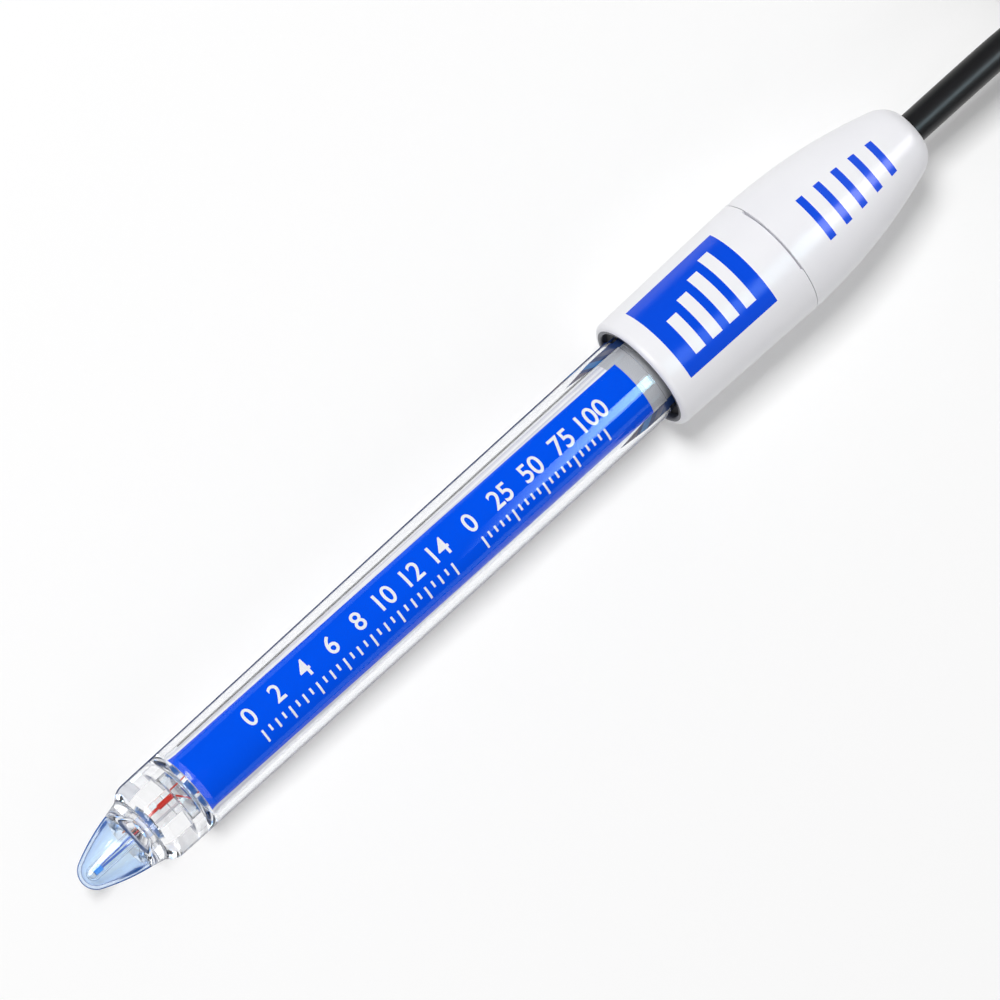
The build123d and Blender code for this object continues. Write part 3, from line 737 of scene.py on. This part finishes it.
# %% Print on the label
def outline(text, size, where):
    """A flat bmesh of a number, size high, with its left end at where."""
    drawn = bpy.data.curves.new("figure", "FONT")
    drawn.body, drawn.size, drawn.align_y = text, size, "CENTER"
    drawn.offset = size * 0.012
    shown = bpy.data.objects.new("figure", drawn)
    mesh = bpy.data.meshes.new_from_object(shown)
    bpy.data.objects.remove(shown)
    mesh.transform(Matrix.Translation((*where, 0)))
    return mesh


def stroke(bm, x, y, length, width):
    """A flat bar along x, centred at a point."""
    made = bmesh.ops.create_grid(bm, x_segments=1, y_segments=1, size=0.5)["verts"]
    bmesh.ops.scale(bm, vec=(length, width, 1), verts=made)
    bmesh.ops.translate(bm, vec=(x, y, 0), verts=made)


def wrap(bm, radius, thickness):
    """Bends a flat print round the electrode's axis and gives it thickness."""
    reach = max(abs(v.co.y) for v in bm.verts)
    cuts = int(reach / 0.25) + 1
    for k in range(-cuts, cuts + 1):
        geom = bm.verts[:] + bm.edges[:] + bm.faces[:]
        bmesh.ops.bisect_plane(bm, geom=geom, dist=1e-5, plane_co=(0, 0.25 * k, 0), plane_no=(0, 1, 0))
    bmesh.ops.recalc_face_normals(bm, faces=bm.faces)
    for face in bm.faces:
        if face.normal.z < 0:
            face.normal_flip()
    made = bmesh.ops.extrude_face_region(bm, geom=bm.faces[:])["geom"]
    lifted = [v for v in made if isinstance(v, bmesh.types.BMVert)]
    bmesh.ops.translate(bm, vec=(0, 0, thickness), verts=lifted)
    for vert in bm.verts:
        turn, high = vert.co.y / radius - skew(vert.co.x), radius + vert.co.z
        vert.co = Vector((vert.co.x, high * sin(turn), high * cos(turn)))
    bmesh.ops.recalc_face_normals(bm, faces=bm.faces)


def scale_print(bm, start, gap, figures, size, row, strokes):
    """A row of figures with a row of strokes beside it."""
    for k, figure in enumerate(figures):
        flat = outline(figure, size, (start + k * gap, row))
        middle = (max(v.co.x for v in flat.vertices) + min(v.co.x for v in flat.vertices)) / 2
        flat.transform(Matrix.Translation((start + k * gap - middle, 0, 0)))
        bm.from_mesh(flat)
        bpy.data.meshes.remove(flat)
        for part in range(strokes if k < len(figures) - 1 else 1):
            long = 1.7 if part == 0 else 1.25 if part * 2 == strokes else 0.85
            stroke(bm, start + (k + part / strokes) * gap, row - size * 0.62 - long / 2, 0.3, long)


bm = bmesh.new()
scale_print(bm, 28.4, 4.55, ["0", "2", "4", "6", "8", "10", "12", "14"], 3.3, 0.75, 4)
scale_print(bm, 65.4, 5.2, ["0", "25", "50", "75", "100"], 3.3, 0.75, 5)
wrap(bm, 4.6, 0.015)
print_white = plain("print_white", rgb(246, 248, 252), 0.35)
label_print = keep("label_print", bm, "electrode", print_white)

# %% [markdown]
# ## The white head
# Sleeve and cap are moulded in the same white plastic, a little glossy, with a blue printed field on the
# sleeve and blue strokes on the cap. Both prints are flat ink, so they are a mask in the material: a field
# between two distances along the axis and two angles round it.
# The dark inside of the sleeve's mouth is painted shade, made with a mask of the same kind.

# %% White plastic with blue print
def white_plastic(name, ink):
    """The head's plastic, with blue where ink(x, turn) is 1 and painted shade inside the sleeve's mouth."""
    made, tree = material(name)
    where, x, y, z = own_place(tree)
    mask = ink(x, around(y, z))
    # Painted shade: the inside of the sleeve's mouth is coloured dark grey, where shade falls.
    inside = (away(y, z) < 7.35) * (x < 101)
    fine = tree.noise(where, 6.0, 3)
    broad = tree.noise(where, 0.12, 2)
    white = tree.mix(broad, rgb(240, 240, 245), rgb(247, 247, 250))
    tree.surface(tree.add(
        "ShaderNodeBsdfPrincipled", {},
        {
            "Base Color": tree.mix(inside, tree.mix(mask, white, rgb(0, 76, 226)), rgb(52, 56, 70)),
            "Roughness": fine * 0.08 + 0.26 - mask * 0.06,
            "Coat Weight": 0.1,
            "Coat Roughness": 0.15,
            "Specular IOR Level": 0.35,
            "Normal": tree.bump(fine, 1.0, 0.0000015),
        },
    ))
    return made


def sleeve_ink(x, turn):
    """A blue field with four white bars of growing length."""
    field = x.between(98.3, 113.2) * turn.between(-57.5, 33.0)
    bars = any_of([
        x.between(100.6 + 2.9 * k, 102.3 + 2.9 * k) * turn.between(-44 + 8 * (3 - k), 19) for k in range(4)
    ])
    return field * (1 - bars)


def cap_ink(x, turn):
    """Five blue strokes across the cap."""
    return any_of([x.between(123.4 + 3.0 * k, 124.5 + 3.0 * k) * turn.between(-22, 25) for k in range(5)])


finish("head_sleeve", white_plastic("white_sleeve", sleeve_ink))
finish("head_cap", white_plastic("white_cap", cap_ink))
print("materials so far", len(bpy.data.materials))

# %% [markdown]
# ## Bench, background and light
# The bench is a matt white plane that takes the electrode's soft shadow. Seen by the camera, in reflections
# and through glass, it glows a little more, so that it reads as the white of the photograph while the lamps
# stay at a plain level. Far from the object it turns into plain white, so that a low view shows no horizon.
#
# The sky answers each kind of ray on its own. The camera sees white, mirrors see two bright windows and a
# paler light beyond them, and rays through glass see dark gaps, which draw the lines in the clear wall. A
# wide softbox at the upper left makes the key light, and one on the other side fills the shadow.

# %% Bench
def seen_rays(tree):
    """Three masks of the rays that end in the picture: from the camera, from a reflection, through glass."""
    rays = tree.add("ShaderNodeLightPath").socket.node
    return [Value(tree, rays.outputs[n]) for n in ("Is Camera Ray", "Is Glossy Ray", "Is Transmission Ray")]


bm = bmesh.new()
bmesh.ops.create_grid(bm, x_segments=1, y_segments=1, size=30)
bench_mesh = bpy.data.meshes.new("bench")
bm.to_mesh(bench_mesh)
bm.free()
bench = bpy.data.objects.new("bench", bench_mesh)
bpy.context.scene.collection.objects.link(bench)
made, tree = material("bench_white")
camera_ray, glossy_ray, through_ray = seen_rays(tree)
matt = tree.add("ShaderNodeBsdfDiffuse", {}, {"Color": (0.84, 0.84, 0.84, 1)})
glow = tree.add("ShaderNodeEmission", {}, {"Color": (1, 1, 1, 1), "Strength": 0.14})
none = tree.add("ShaderNodeEmission", {}, {"Strength": 0.0})
seen = camera_ray.most(glossy_ray).most(through_ray)
chosen = tree.add("ShaderNodeMixShader", {}, {0: seen, 1: none, 2: glow})
near = tree.add("ShaderNodeAddShader", {}, {0: matt, 1: chosen})
white = tree.add("ShaderNodeEmission", {}, {"Strength": 1.0})
place = tree.add("ShaderNodeTexCoord", output=3)
distance = tree.add("ShaderNodeVectorMath", {"operation": "LENGTH"}, {0: place}, 1)
far = tree.remap(distance, 0.25, 0.75, soft=True)
tree.surface(tree.add("ShaderNodeMixShader", {}, {0: seen * far, 1: near, 2: white}))
bench_mesh.materials.append(made)
print("bench", tuple(round(c, 2) for c in bench.dimensions))

# %% World
world = bpy.data.worlds.new("studio")
bpy.context.scene.world = world
world.use_nodes = True
tree = Tree(world.node_tree)
camera_ray, glossy_ray, through_ray = seen_rays(tree)
direction = tree.add("ShaderNodeTexCoord", output=0)
height = tree.add("ShaderNodeSeparateXYZ", {}, {"Vector": direction}, output=2)
split = height.socket.node
side = Value(tree, split.outputs[1])
ahead = Value(tree, split.outputs[0])


def ramp(value, low, high, at_low, at_high):
    """A soft change from one strength to another."""
    return tree.remap(value, low, high, at_low, at_high, soft=True)


low = ramp(height, 0.02, 0.06, 0.0, 0.9) * ramp(height, 0.22, 0.30, 1, 0.03)
lean = (-side) / height
window = ramp(lean, 0.20, 0.23, 0, 1) * ramp(lean, 0.70, 0.76, 1, 0) * ramp(ahead, 0.212, 0.238, 0, 1)
front = ramp(lean, -0.9, -0.7, 0, 1) * ramp(lean, -0.25, -0.1, 1, 0) * ramp(ahead, -0.35, -0.28, 1, 0)
window = window * (height > 0.3)
front = front * (height > 0.3)
plain_ray = 1 - glossy_ray.most(through_ray).most(camera_ray)
stripes = ramp(lean, -0.16, -0.12, 1, 0) + ramp(lean, 0.10, 0.14, 0, 1)
beyond = ramp(ahead, -0.06, 0.0, 1, 0) + ramp(ahead, 0.38, 0.44, 0, 1)
through_sky = low.most(beyond * stripes * ramp(height, 0.16, 0.20, 0, 0.9)) + window * 1.5 + front
mirrored = window * 9 + front * 9 + beyond * 0.8 + 0.02
strength = camera_ray + through_ray * through_sky + glossy_ray * mirrored + plain_ray * 0.30
sky = tree.mix(through_ray * (height < 0.35), (1, 1, 1, 1), (0.30, 0.55, 1.0, 1))
sky = tree.mix(glossy_ray * ahead.between(0.15, 0.35), sky, (0.5, 0.86, 1.0, 1))
tree.surface(tree.add("ShaderNodeBackground", {}, {"Color": sky, "Strength": strength}), "World")
print("nodes in the sky", len(world.node_tree.nodes))


# %% Lamps
def softbox(name, place, aim, size, power):
    """A white area lamp of that size in metres, turned towards aim."""
    lamp = bpy.data.lights.new(name, "AREA")
    lamp.shape, lamp.size, lamp.size_y = "RECTANGLE", size[0], size[1]
    lamp.energy = power
    shown = bpy.data.objects.new(name, lamp)
    bpy.context.scene.collection.objects.link(shown)
    toward = (Vector(place) - Vector(aim)).normalized()
    side = Vector((1, 0, 0))
    side = (side - toward * side.dot(toward)).normalized()
    turned = Matrix((side, toward.cross(side), toward)).transposed().to_4x4()
    turned.translation = place
    shown.matrix_world = turned
    return shown


key = softbox("key", target + Vector((-0.10, 0.36, 1.02)), target, (0.36, 0.36), 8.3)
fill = softbox("fill", target + Vector((0.05, -0.80, 0.50)), target, (0.8, 0.5), 1.0)
for lamp in (key, fill):
    lamp.visible_glossy = lamp.visible_transmission = False
    print(lamp.name, lamp.data.energy, "W")

# %% View
bpy.context.scene.view_settings.view_transform = "Standard"
bpy.context.scene.cycles.max_bounces = 32
bpy.context.scene.cycles.transmission_bounces = 28
bpy.context.scene.cycles.transparent_max_bounces = 24
